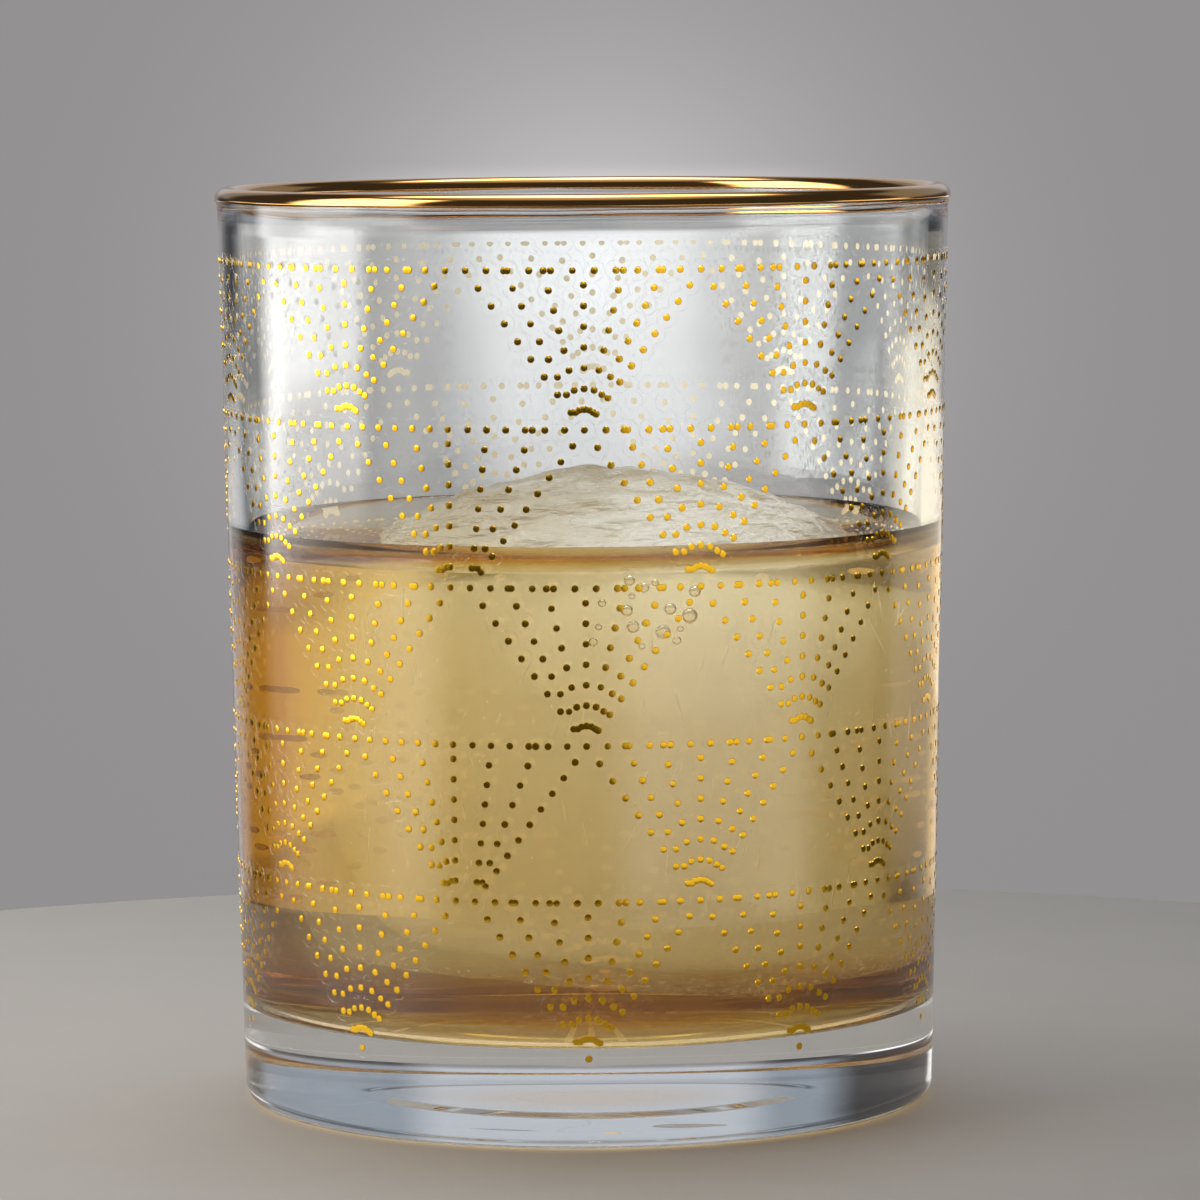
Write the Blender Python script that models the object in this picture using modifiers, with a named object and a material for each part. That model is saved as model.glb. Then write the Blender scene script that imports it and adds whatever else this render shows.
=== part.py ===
"""Rocks glass with a gilded rim and a fired print of dotted fans, holding a drink and a large block of ice.

Units are metres and +Z is up. The origin is on the table, under the middle of the base. Angles around the
glass run from the front, which faces -Y, towards +X.
"""

import math

import bmesh
import bpy
from mathutils import Vector

MM = 0.001

# Glass: a double old-fashioned tumbler, 4 inches tall and 3 1/4 inches across
HEIGHT = 102.0 * MM
RIM_RADIUS = 40.75 * MM  # the straight wall carried up to the rim
BASE_RADIUS = 38.7 * MM  # the straight wall carried down to the table
WALL_AT_RIM = 2.0 * MM
WALL_AT_TABLE = 2.65 * MM
FLOOR_HEIGHT = 10.5 * MM
FLOOR_FILLET = 4.0 * MM
LIP_RADIUS = 1.13 * MM  # rounded lip, a little thicker than the wall below it
LIP_NECK = 2.7 * MM  # where the lip has run out into the wall, below the top of the glass
HEEL_RISE = 2.1 * MM
FOOT_OUTER_RADIUS = 37.65 * MM  # the flat ring that the glass stands on
FOOT_INNER_RADIUS = 33.5 * MM
RECESS_RADIUS = 31.0 * MM
RECESS_DEPTH = 0.8 * MM
RECESS_CROWN = 0.35 * MM
VALVE_RADIUS = 15.6 * MM  # round mark of the mould's valve, in the middle of the recess
VALVE_DEPTH = 0.3 * MM
VALVE_EDGE = 0.7 * MM

# Gold and print
COAT_GAP = 0.1 * MM  # between the glass and what is fired on it
GOLD_THICKNESS = 0.1 * MM
GOLD_DOWN_OUTSIDE = 1.6 * MM
GOLD_DOWN_INSIDE = 1.45 * MM
FILM_THICKNESS = 0.12 * MM
ROWS = 5
FIRST_LINE = 93.9 * MM  # height of the top line of dots
ROW_PITCH = 16.8 * MM  # from one line of dots to the next, where the fans' points lie
FANS = 10
SEAM = 3.2  # degrees left over where the two ends of the transfer meet
SEAM_EDGE = -17.7  # degrees, the first fan's first corner, right of the seam
FILM_MARGIN = 1.1 * MM  # film around the dots' centres
END_MARGIN = 0.9 * MM
TONGUE_DROP = 15.3 * MM  # from a row's line to the end of its fans
LAST_TONGUE_DROP = 17.6 * MM  # the lowest row ends in single dots
COLUMNS_PER_FAN = 10

# Drink
FILL_HEIGHT = 61.2 * MM
CAPILLARY_LENGTH = 2.75 * MM  # which sets how far the drink climbs the glass
MENISCUS_SLOPES = (6, 20, 38, 60, 90)  # degrees, where the climbing surface gets its points
FIT_GAP = 0.3 * MM

# Ice: a 2 inch block from an open mould, its frozen top domed
ICE_HALF_WIDTH = 26.0 * MM
ICE_HEIGHT = 54.5 * MM
ICE_DOME_RADIUS = 48.5 * MM
ICE_DOME_REACH = 23.6 * MM  # half the width of the dome
ICE_EDGE_RADIUS = 4.5 * MM
ICE_SQUARENESS = 3.6  # exponent of the plan's superellipse, where 2 is round
ICE_CENTRE = Vector((4.0 * MM, 0.0, 42.6 * MM))
ICE_TURN = -17.0  # degrees, where the block's front face looks
ICE_TILT = 4.0  # degrees, the block leans to +X
WELL_EDGE_RADIUS = 6.0 * MM

# Facets
SIDES = 72
ICE_SIDES = 40
FILLET_STEPS = 5
LIP_STEPS = 8
GOLD_STEPS = 6
EDGE_STEPS = 4
WELD = 0.00001

FAN_PITCH = (360.0 - SEAM) / FANS  # degrees
LIP_TOP = HEIGHT - COAT_GAP - GOLD_THICKNESS
LIP_CENTRE_HEIGHT = LIP_TOP - LIP_RADIUS


def wall_radius(height):
    """Outer radius of the tapered wall."""
    return BASE_RADIUS + (RIM_RADIUS - BASE_RADIUS) * height / HEIGHT


def bore_radius(height):
    """Inner radius of the tapered wall."""
    return wall_radius(height) - (WALL_AT_TABLE + (WALL_AT_RIM - WALL_AT_TABLE) * height / HEIGHT)


def arc(centre, radii, start, end, steps):
    """Points on an arc or a quarter of an ellipse, its angles in degrees from the radius towards +Z."""
    angles = [math.radians(start + (end - start) * i / steps) for i in range(steps + 1)]
    return [(centre[0] + radii[0] * math.cos(a), centre[1] + radii[1] * math.sin(a)) for a in angles]


def finish_material(name, colour, roughness, metallic=0.0, transmission=0.0, ior=1.5):
    material = bpy.data.materials.new(name)
    material.use_nodes = True
    shader = material.node_tree.nodes["Principled BSDF"]
    shader.inputs["Base Color"].default_value = (*colour, 1.0)
    shader.inputs["Roughness"].default_value = roughness
    shader.inputs["Metallic"].default_value = metallic
    shader.inputs["Transmission Weight"].default_value = transmission
    shader.inputs["IOR"].default_value = ior
    material.diffuse_color = (*colour, 1.0)
    return material


def add_object(name, mesh, collection, material=None):
    obj = bpy.data.objects.new(name, mesh)
    collection.objects.link(obj)
    if material:
        mesh.materials.append(material)
    return obj


def turned(name, profile, collection, material=None, ring=False):
    """A solid turned about its own Z axis from (radius, height) points that end down its outer side."""
    edges = [(i, i + 1) for i in range(len(profile) - 1)]
    if ring:
        edges.append((len(profile) - 1, 0))
    mesh = bpy.data.meshes.new(name)
    mesh.from_pydata([(radius, 0.0, height) for radius, height in profile], edges, [])
    obj = add_object(name, mesh, collection, material)
    screw = obj.modifiers.new("Turn", "SCREW")
    screw.axis = "Z"
    screw.steps = screw.render_steps = SIDES
    screw.use_merge_vertices = True
    screw.merge_threshold = WELD
    screw.use_smooth_shade = True
    return obj


def lip_centre_radius():
    return (wall_radius(LIP_TOP) + bore_radius(LIP_TOP)) / 2


def glass_profile():
    """From the middle of the floor, up the bore, over the lip, down the wall and in under the base."""
    fillet_height = FLOOR_HEIGHT + FLOOR_FILLET
    fillet_centre = (bore_radius(fillet_height) - FLOOR_FILLET, fillet_height)
    neck = LIP_TOP - LIP_NECK
    heel_centre = (FOOT_OUTER_RADIUS, HEEL_RISE)
    heel_radii = (wall_radius(HEEL_RISE) - FOOT_OUTER_RADIUS, HEEL_RISE)
    crown = RECESS_DEPTH + RECESS_CROWN
    return [
        (0.0, FLOOR_HEIGHT),
        *arc(fillet_centre, (FLOOR_FILLET, FLOOR_FILLET), -90, 0, FILLET_STEPS),
        (bore_radius(neck), neck),
        *arc((lip_centre_radius(), LIP_CENTRE_HEIGHT), (LIP_RADIUS, LIP_RADIUS), 180, 0, LIP_STEPS),
        (wall_radius(neck), neck),
        *arc(heel_centre, heel_radii, 0, -90, EDGE_STEPS),
        (FOOT_INNER_RADIUS, 0.0),
        (RECESS_RADIUS, RECESS_DEPTH),
        (VALVE_RADIUS + VALVE_EDGE, crown),
        (VALVE_RADIUS, crown + VALVE_DEPTH),
        (0.0, crown + VALVE_DEPTH),
    ]


def gilding_profile():
    """The gold's outer skin from inside the glass over the lip, then its inner skin back."""
    centre = (lip_centre_radius(), LIP_CENTRE_HEIGHT)
    inner = LIP_RADIUS + COAT_GAP
    outer = inner + GOLD_THICKNESS
    inside_edge = HEIGHT - GOLD_DOWN_INSIDE
    outside_edge = HEIGHT - GOLD_DOWN_OUTSIDE
    return [
        (centre[0] - outer, inside_edge),
        *arc(centre, (outer, outer), 180, 0, GOLD_STEPS),
        (centre[0] + outer, outside_edge),
        (centre[0] + inner, outside_edge),
        *arc(centre, (inner, inner), 0, 180, GOLD_STEPS),
        (centre[0] - inner, inside_edge),
    ]


def film_drop(angle, row):
    """How far a row's film reaches below its line of dots, at an angle counted from the seam's edge."""
    half_pitch = FAN_PITCH / 2
    middle = half_pitch if row % 2 == 0 else 0.0  # every other row is set off by half a fan
    from_middle = abs((angle - middle + half_pitch) % FAN_PITCH - half_pitch)
    half_width = math.radians(half_pitch) * RIM_RADIUS
    edge_slant = math.hypot(half_width, ROW_PITCH) / ROW_PITCH
    inside_edge = math.radians(from_middle) * RIM_RADIUS - FILM_MARGIN * edge_slant
    drop = ROW_PITCH * (1 - inside_edge / half_width)
    return min(drop, LAST_TONGUE_DROP if row == ROWS - 1 else TONGUE_DROP)


def print_row(row, collection, material):
    """One row of the print: the film of a line of dots and its hanging fans, bent round the wall."""
    line = FIRST_LINE - row * ROW_PITCH
    columns = FANS * COLUMNS_PER_FAN
    end_margin = math.degrees(END_MARGIN / RIM_RADIUS)
    angles = [FAN_PITCH * i / COLUMNS_PER_FAN for i in range(columns + 1)]
    angles = [-end_margin, *angles, angles[-1] + end_margin]
    sheet = bmesh.new()
    bmesh.ops.create_grid(sheet, x_segments=len(angles) - 1, y_segments=1, size=0.5)
    for vertex in sheet.verts:
        angle = angles[round((vertex.co.x + 0.5) * (len(angles) - 1))]
        height = line + FILM_MARGIN if vertex.co.y > 0 else line - film_drop(angle, row)
        turn = math.radians(SEAM_EDGE + angle)
        radius = wall_radius(height) + COAT_GAP
        vertex.co = (radius * math.sin(turn), -radius * math.cos(turn), height)
    mesh = bpy.data.meshes.new(f"print_row_{row + 1}")
    sheet.to_mesh(mesh)
    sheet.free()
    mesh.shade_smooth()
    film = add_object(mesh.name, mesh, collection, material)
    shell = film.modifiers.new("Film thickness", "SOLIDIFY")
    shell.thickness = FILM_THICKNESS
    shell.offset = 1.0
    return film


def ice_profile():
    """Half of the upright block, from the top of its dome to the middle of its flat bottom."""
    top = ICE_HEIGHT / 2
    dome_end = math.degrees(math.acos(ICE_DOME_REACH / ICE_DOME_RADIUS))
    shoulder = (ICE_HALF_WIDTH - ICE_DOME_REACH) / (1 - math.cos(math.radians(dome_end)))
    dome_centre = (0.0, top - ICE_DOME_RADIUS)
    run = ICE_DOME_RADIUS - shoulder
    shoulder_centre = (
        run * math.cos(math.radians(dome_end)),
        dome_centre[1] + run * math.sin(math.radians(dome_end)),
    )
    edge_centre = (ICE_HALF_WIDTH - ICE_EDGE_RADIUS, ICE_EDGE_RADIUS - top)
    dome = arc(dome_centre, (ICE_DOME_RADIUS, ICE_DOME_RADIUS), 90, dome_end, EDGE_STEPS)
    dome[0] = (0.0, top)
    return [
        *dome[:-1],
        *arc(shoulder_centre, (shoulder, shoulder), dome_end, 0, EDGE_STEPS),
        (ICE_HALF_WIDTH, (shoulder_centre[1] + edge_centre[1]) / 2),
        *arc(edge_centre, (ICE_EDGE_RADIUS, ICE_EDGE_RADIUS), 0, -90, EDGE_STEPS),
        (0.0, -top),
    ]


def ice_block(collection, material):
    """The block's half profile spun round, then drawn out towards the four corners of its mould."""
    block = bmesh.new()
    profile = [block.verts.new((radius, 0.0, height)) for radius, height in ice_profile()]
    edges = [block.edges.new(pair) for pair in zip(profile, profile[1:])]
    bmesh.ops.spin(
        block,
        geom=profile + edges,
        axis=(0, 0, 1),
        cent=(0, 0, 0),
        angle=math.tau,
        steps=ICE_SIDES,
        use_merge=True,
    )
    bmesh.ops.remove_doubles(block, verts=block.verts, dist=WELD)
    for vertex in block.verts:
        radius = math.hypot(vertex.co.x, vertex.co.y)
        if radius > 0.0:
            across = sum(abs(side / radius) ** ICE_SQUARENESS for side in vertex.co.xy)
            vertex.co.xy *= across ** (-1 / ICE_SQUARENESS)
    bmesh.ops.recalc_face_normals(block, faces=block.faces)
    mesh = bpy.data.meshes.new("ice")
    block.to_mesh(mesh)
    block.free()
    mesh.shade_smooth()
    ice = add_object("ice", mesh, collection, material)
    ice.location = ICE_CENTRE
    ice.rotation_mode = "ZYX"  # turned first, then tilted
    ice.rotation_euler = (0.0, math.radians(ICE_TILT), math.radians(ICE_TURN))
    return ice


def ice_well(ice, collection):
    """The round hollow that the ice floats in, clear of the leaning block however it turns."""
    bpy.context.view_layer.update()
    points = [ice.matrix_world @ vertex.co - ICE_CENTRE for vertex in ice.data.vertices]
    radius = max(math.hypot(point.x, point.y) for point in points) + FIT_GAP
    floor = min(point.z for point in points) - FIT_GAP
    above_drink = HEIGHT - ICE_CENTRE.z
    edge_centre = (radius - WELL_EDGE_RADIUS, floor + WELL_EDGE_RADIUS)
    profile = [
        (0.0, above_drink),
        (radius, above_drink),
        *arc(edge_centre, (WELL_EDGE_RADIUS, WELL_EDGE_RADIUS), 0, -90, EDGE_STEPS),
        (0.0, floor),
    ]
    well = turned("ice_well", profile, collection)
    well.location = ICE_CENTRE
    well.hide_render = True
    well.display_type = "WIRE"
    return well


def climb(slope_degrees):
    """Where a wetting liquid's surface slopes this much: its distance from the wall and its rise."""
    slope, upright = math.radians(slope_degrees), math.radians(90)
    off = math.log(math.tan(upright / 4) / math.tan(slope / 4))
    off += 2 * (math.cos(upright / 2) - math.cos(slope / 2))
    return CAPILLARY_LENGTH * off, 2 * CAPILLARY_LENGTH * math.sin(slope / 2)


def drink_profile():
    """From the middle of the surface out to the meniscus, then down the bore to the middle of the floor."""
    climbs = [climb(slope) for slope in MENISCUS_SLOPES]
    levels = [(off, FILL_HEIGHT + rise) for off, rise in climbs]
    surface = [(bore_radius(height) - FIT_GAP - off, height) for off, height in levels]
    fillet_height = FLOOR_HEIGHT + FLOOR_FILLET
    fillet_centre = (bore_radius(fillet_height) - FLOOR_FILLET, fillet_height)
    fillet = FLOOR_FILLET - FIT_GAP
    return [
        (0.0, FILL_HEIGHT),
        (bore_radius(FILL_HEIGHT) - 2 * climbs[0][0], FILL_HEIGHT),
        *surface,
        *arc(fillet_centre, (fillet, fillet), 0, -90, FILLET_STEPS),
        (0.0, FLOOR_HEIGHT + FIT_GAP),
    ]


def drink_body(well, collection, material):
    drink = turned("drink", drink_profile(), collection, material)
    hollow = drink.modifiers.new("Hollow for the ice", "BOOLEAN")
    hollow.operation = "DIFFERENCE"
    hollow.solver = "EXACT"
    hollow.object = well
    return drink


def build():
    for obj in list(bpy.data.objects):
        bpy.data.objects.remove(obj, do_unlink=True)
    parts = bpy.data.collections.new("rocks_glass")
    cutters = bpy.data.collections.new("rocks_glass_cutters")
    for collection in (parts, cutters):
        bpy.context.scene.collection.children.link(collection)
    clear_glass = finish_material("clear_glass", (0.95, 0.97, 0.98), 0.0, transmission=1.0, ior=1.52)
    bright_gold = finish_material("bright_gold", (0.83, 0.58, 0.2), 0.18, metallic=1.0)
    gold_print = finish_material("gold_print", (0.9, 0.68, 0.12), 0.3, metallic=1.0)
    amber_drink = finish_material("amber_drink", (0.78, 0.58, 0.2), 0.0, transmission=1.0, ior=1.34)
    cloudy_ice = finish_material("cloudy_ice", (0.86, 0.86, 0.82), 0.35, transmission=0.7, ior=1.31)
    turned("glass_body", glass_profile(), parts, clear_glass)
    turned("rim_gilding", gilding_profile(), parts, bright_gold, ring=True)
    for row in range(ROWS):
        print_row(row, parts, gold_print)
    ice = ice_block(parts, cloudy_ice)
    drink_body(ice_well(ice, cutters), parts, amber_drink)


build()
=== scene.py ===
"""Looks of a filled rocks glass: pressed glass, fired gold, an amber drink and a block of clouded ice.

Angles around the glass run from the front, which faces -Y, towards +X.
"""

import math
import random

import bmesh
import bpy
from mathutils import Matrix, Vector, noise
from mathutils.bvhtree import BVHTree


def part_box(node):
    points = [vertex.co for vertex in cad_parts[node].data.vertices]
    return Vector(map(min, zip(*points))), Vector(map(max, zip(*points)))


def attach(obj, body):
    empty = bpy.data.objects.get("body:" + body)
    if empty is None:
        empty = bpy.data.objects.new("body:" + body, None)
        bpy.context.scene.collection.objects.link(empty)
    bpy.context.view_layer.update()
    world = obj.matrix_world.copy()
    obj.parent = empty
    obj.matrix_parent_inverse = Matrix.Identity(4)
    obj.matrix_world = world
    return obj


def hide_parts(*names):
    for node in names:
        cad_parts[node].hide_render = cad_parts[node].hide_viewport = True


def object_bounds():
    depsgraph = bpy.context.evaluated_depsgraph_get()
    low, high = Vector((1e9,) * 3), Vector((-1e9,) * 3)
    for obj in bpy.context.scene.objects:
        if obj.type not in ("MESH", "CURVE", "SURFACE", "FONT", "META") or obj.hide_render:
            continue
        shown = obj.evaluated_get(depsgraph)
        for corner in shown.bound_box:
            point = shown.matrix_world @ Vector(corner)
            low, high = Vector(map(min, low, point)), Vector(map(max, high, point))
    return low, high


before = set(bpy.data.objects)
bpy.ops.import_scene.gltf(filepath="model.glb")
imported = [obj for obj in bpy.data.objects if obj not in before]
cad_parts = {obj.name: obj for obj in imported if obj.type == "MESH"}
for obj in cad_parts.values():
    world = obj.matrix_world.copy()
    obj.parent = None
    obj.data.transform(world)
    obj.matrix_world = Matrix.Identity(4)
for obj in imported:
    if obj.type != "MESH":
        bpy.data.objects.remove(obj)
CAD_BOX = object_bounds()

MM = 0.001

# Glass, from the frame and from how it was pressed
RIM_RADIUS = 40.75 * MM  # the straight wall carried up to the rim
BASE_RADIUS = 38.7 * MM  # the straight wall carried down to the table
WALL_AT_RIM = 2.0 * MM
WALL_AT_TABLE = 2.65 * MM
HEIGHT = CAD_BOX[1][2]
LIP_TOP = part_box("glass_body")[1][2]
LIP_RADIUS = 1.13 * MM
LIP_NECK = 2.7 * MM
FLOOR_HEIGHT = 10.5 * MM
FLOOR_FILLET = 4.0 * MM
FILLET_TOP = FLOOR_HEIGHT + FLOOR_FILLET
HEEL_RISE = 2.1 * MM
FOOT_OUTER_RADIUS = 37.65 * MM
FOOT_INNER_RADIUS = 33.5 * MM
RECESS_RADIUS = 31.0 * MM
RECESS_DEPTH = 0.8 * MM
RECESS_CROWN = 0.35 * MM
VALVE_RADIUS = 15.6 * MM
VALVE_DEPTH = 0.3 * MM
VALVE_EDGE = 0.7 * MM
VALVE_HAZE_AND_PAINTED_LIGHT = 0.26  # share of matt glass in its middle, tinted amber: painted light from the drink above
GLASS_IOR = 1.52
BORE_RIPPLE = 0.05 * MM  # pressed glass is never quite even inside
BORE_RIPPLE_SIZE = 17.0 * MM
UNDER_RIPPLE = 0.07 * MM
UNDER_RIPPLE_SIZE = 13.0 * MM
FIRE_LINE = 1.85 * MM  # below the lip's top, a thin wavy crease inside that fire polishing left
FIRE_LINE_DEPTH = 0.16 * MM
FIRE_LINE_WIDTH = 0.2 * MM
FIRE_LINE_WAVER = 0.16 * MM
# The crease's section: how far up in widths, and how deep
FIRE_LINE_SECTION = ((-0.8, 0), (-0.5, 0), (0, 1), (0.5, 0), (0.8, 0))

# Fired gold on the lip
GOLD_SKIN = 0.12 * MM
GOLD_BITE = 0.03 * MM  # how far fired coats sink into the glass, so that no air shows under them
BRUSH_LENGTH = 50 / 3 * MM
BRUSH_PITCH = 0.625 * MM
GOLD_WAVER = 0.12 * MM  # the brushed edge is not quite straight
GOLD_LAP = 0.15 * MM  # the inner edge lies this much higher than the outer one

# Print: rows of dotted fans
ROWS = 5
FANS = 10
SEAM = 3.2  # degrees left over where the two ends of the transfer meet
SEAM_EDGE = -17.7  # degrees, the first fan's first corner, right of the seam
FAN_PITCH = (360.0 - SEAM) / FANS
ROW_PITCH = 16.8 * MM
FILM_MARGIN = 1.1 * MM
LINE_DOTS = 11  # along one fan's width
SEAM_LINE_DOTS = 6  # along each half of a fan that the seam cuts
WALL_LEAN = (RIM_RADIUS - BASE_RADIUS) / HEIGHT  # the dots lie flat on the leaning wall
DOT_RADIUS = 0.4 * MM
DOT_TOP = 0.88  # of its radius, a dot's flat top
DOT_SIDES = 10
DOT_SPREAD = 0.1  # of its size, how unevenly the paste prints
DOT_DOME = 0.01 * MM
DOT_RISE = 0.09 * MM  # with the part sunk in the glass
FLUX_BEAD = 0.06 * MM
FLUX_STEPS = 24  # round one dot's part of the film's edge
FLUX_GLINT = 0.08
PASTE_GRAIN = 0.25 * MM
PASTE_PAINTED_GLOW = 0.35  # painted glow: emission on the pale underside, standing in for the light in the glass that reaches it
# A fan's rays: where each ends on the line, in half widths from the fan's middle, and its steps
FULL_FAN = ((-1, 9), (-2 / 3, 9), (-1 / 3, 8), (0, 7.7), (1 / 3, 8), (2 / 3, 9), (1, 10))
LEFT_OF_SEAM = FULL_FAN[:4]
RIGHT_OF_SEAM = ((1 / 6, 8), (0.56, 8), (1, 10))

# Drink
FILL_HEIGHT = 61.2 * MM
CAPILLARY_LENGTH = 2.4 * MM  # of a watered spirit, which sets how far it climbs the glass
MENISCUS_SLOPES = (3, 6, 10, 15, 20, 26, 32, 38, 44, 50, 56, 62, 68, 74, 79, 84, 87, 90)  # degrees
WETTING = 0.15 * MM  # the drink's skin lies this far inside the glass, so that no air shows between
SPIRIT_IOR = 1.345
SPIRIT_STRENGTH = 90.0
UNDER_ICE_SHADE_STRENGTH = 45.0  # on top of that under the ice: painted shade, the drink made deeper there where the ice shades it

# Ice
ICE_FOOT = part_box("ice")[0].z
ICE_MIDDLE = (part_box("ice")[0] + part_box("ice")[1]) / 2
ICE_HOLE = 24.0 * MM  # the drink's surface stops inside the ice
ICE_WELL = 27.6 * MM  # no colour this far round the block, where melt thins the drink
ICE_WELL_PLACE = (2.2 * MM, -1.2 * MM)
ICE_WELL_EDGE = 3.0 * MM
ICE_IOR = 1.31
ICE_VOXEL = 0.55 * MM
ICE_MELT = 14  # rounds of smoothing
MELT_WAVES = ((15, 0.5), (5, 0.14))  # millimetres, wide and deep
FROST_RIDGES = (6, 1.1, 0.42)  # millimetres, across, up and deep
FROST_LUMPS = (3.4, 0.5)  # millimetres, wide and deep
FROST_FROM, FROST_TO = -14 * MM, 8 * MM  # across the dome, from hardly any frost to all of it
FROST_PATCH = 10 * MM
RIME_LINES = (0.22, 0.22, 1.1)  # per millimetre, across, away and up
HAZE_SIZE = 9 * MM
SPECKLE_SIZE = 0.9 * MM
SPECKLES_FROM, SPECKLES_TO = 21.0 * MM, 15.0 * MM  # the foot turns grainy between
CLOUD_SHARE = 0.94  # of the block's width, the part that froze last and is milky
CLOUD_WAIST = 0.3  # how much narrower the milky part is at the block's foot
CLOUD_TAPER = 26.0 * MM  # the height over which it widens
CLOUD_SHOULDER = 46.0 * MM  # the height from which the clear dome takes over
CLOUD_FLATNESS = 0.62  # how much of the dome's height is left in the milky part
CROWN_PLACE = Vector((9.0, -3.0, 51.5)) * MM  # the whitest cloud, under the dome
CROWN_RADII = Vector((16.0, 17.0, 8.0)) * MM
BLOCK_MILK = 5.0  # how dense the fine bubbles are
HEART_MILK = 36.0
CROWN_MILK = 55.0
HEART_VEIL = 0.03  # how white the heart's skin is
BUBBLES = 17
BUBBLE_SEED = 7
BUBBLE_FIELD = ((0.0, 53.0), (11.0, 60.5))  # millimetres across and up, on the block's front
BUBBLE_SIZES = (0.35, 1.05)  # millimetres, radius
BUBBLE_GAP = 1.15  # between two, in their radii
NEEDLES = 190
NEEDLE_SEED = 4
NEEDLE_HEIGHTS = (22.0, 57.0)  # millimetres
NEEDLE_DEPTHS = (20.5, 23.6)  # millimetres from the block's axis
NEEDLE_THICKNESS = (0.045, 0.1)  # millimetres, radius
NEEDLE_LENGTH = 2.2  # millimetres, the longest half
NEEDLE_LEAN = ((-0.25, 0.45), (-0.3, 0.3))  # across and away, for a rise of 1

# Studio
TABLE_RADIUS = 165.0 * MM
TABLE_TOP = -0.2 * MM
TABLE_UNDER = -20.0 * MM
TABLE_MOTTLE = 50 / 3 * MM
PAINTED_POOL_OF_LIGHT = (39.5 * MM, 34.0 * MM, 0.5)  # painted pool of amber light under the glass: from where, to where, how strong
# Soft panels: left, right and how soft, low, high and how soft, all in degrees, then colour and strength
PANELS = (
    (-75, -50, 9, -12, 2.5, 1, "#FFFAF2", 1.0),
    (12, 78, 10, -12, 2.5, 1, "#FFFAF2", 0.85),
    (-62, 62, 10, -0.9, 2.4, 0.4, "#FFFFFF", 1.6),
    (-100, -56, 6, 1.5, 50, 1, "#FFFDFA", 4.6),
    (-98, -72, 7, -3.2, 1.5, 0.7, "#FFFDFA", 5.0),
    (-140, -48, 7, -3.2, 1.5, 1, "#FFFDFA", 1.4),
    (-122, -74, 5, -6.2, -3.2, 0.6, "#FFFDFA", 4.8),
    (-124, -75, 6, -10.8, -6.2, 0.6, "#FFEFD4", 0.9),
    (84, 120, 6, -3.0, 5, 0.6, "#FFFDFA", 1.4),
    (117, 168, 4, -4.5, -3.9, 0.2, "#FFF4DC", 0.7),
    (117, 168, 4, -6.6, -4.5, 0.2, "#FFF4DC", 1.0),
    (117, 168, 4, -9.0, -6.6, 0.3, "#FFF4DC", 0.62),
    (-166, -146, 6, -8.6, -4.3, 0.3, "#FFFFFF", 0.5),
    (116, 190, 6, 5, 32, 4, "#A6B2C0", 0.6),
    (-190, -146, 6, 5, 32, 4, "#A6B2C0", 0.6),
    (178, 190, 0.7, -4.6, -1.4, 0.25, "#FFFFFF", 0.34),
    (-190, -178, 0.7, -4.6, -1.4, 0.25, "#FFFFFF", 0.34),
    (112, 190, 8, 60, 100, 5, "#FFFFFF", 4.6),
    (-190, -112, 8, 60, 100, 5, "#FFFFFF", 4.6),
    (-190, 190, 5, 62, 100, 14, "#FAFAFA", 0.8),
)
BACKDROP_MIDDLE = Vector((0.0, 1.0, -0.045))  # the way to where the backdrop is lit most
BACKDROP_FALL = 9.0  # degrees from there to where it is dim
BACKDROP_FADE = 4.6  # exponent of the fall
BACKDROP_SIDE = 160  # degrees from the front, where it begins

# Camera of the photograph
CAMERA_PLACE = Vector((1.62 * MM, -672.0 * MM, 118.3 * MM))
CAMERA_PITCH = 5.35  # degrees downwards
CAMERA_ROLL = -0.405
CAMERA_LENS = 180.4  # millimetres on a 36 mm sensor


def linear(hex_colour):
    """An sRGB hex colour as linear red, green and blue, with alpha 1."""
    shares = [int(hex_colour[i : i + 2], 16) / 255 for i in (1, 3, 5)]
    return (*[s / 12.92 if s <= 0.04045 else ((s + 0.055) / 1.055) ** 2.4 for s in shares], 1.0)


def add_node(tree, kind, inputs=None, **settings):
    """A node with its settings. Each input is a value, or a socket that is linked to it."""
    node = tree.nodes.new(kind)
    for key, value in settings.items():
        setattr(node, key, value)
    for key, value in (inputs or {}).items():
        if isinstance(value, bpy.types.NodeSocket):
            tree.links.new(value, node.inputs[key])
        else:
            node.inputs[key].default_value = value
    return node


def new_material(name):
    """An empty material and its tree."""
    material = bpy.data.materials.new(name)
    material.use_nodes = True
    material.node_tree.nodes.clear()
    return material, material.node_tree


def end_material(material, **ends):
    """The material, with the nodes that make its surface and its volume."""
    output = material.node_tree.nodes.new("ShaderNodeOutputMaterial")
    for end, shader in ends.items():
        material.node_tree.links.new(shader.outputs[0], output.inputs[end.title()])
    return material


def lamps_pass(tree, shader, tint):
    """The shader for all rays but those that look for a lamp, which pass straight on with a tint."""
    path = add_node(tree, "ShaderNodeLightPath")
    clear = add_node(tree, "ShaderNodeBsdfTransparent", {"Color": linear(tint)})
    return add_node(
        tree,
        "ShaderNodeMixShader",
        {0: path.outputs["Is Shadow Ray"], 1: shader.outputs[0], 2: clear.outputs[0]},
    )


def off_axis(tree, place):
    """How far a place lies from the Z axis."""
    level = add_node(tree, "ShaderNodeVectorMath", {0: place, 1: (1.0, 1.0, 0.0)}, operation="MULTIPLY")
    away = add_node(tree, "ShaderNodeVectorMath", {0: level.outputs[0]}, operation="LENGTH")
    return away.outputs["Value"]


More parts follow.
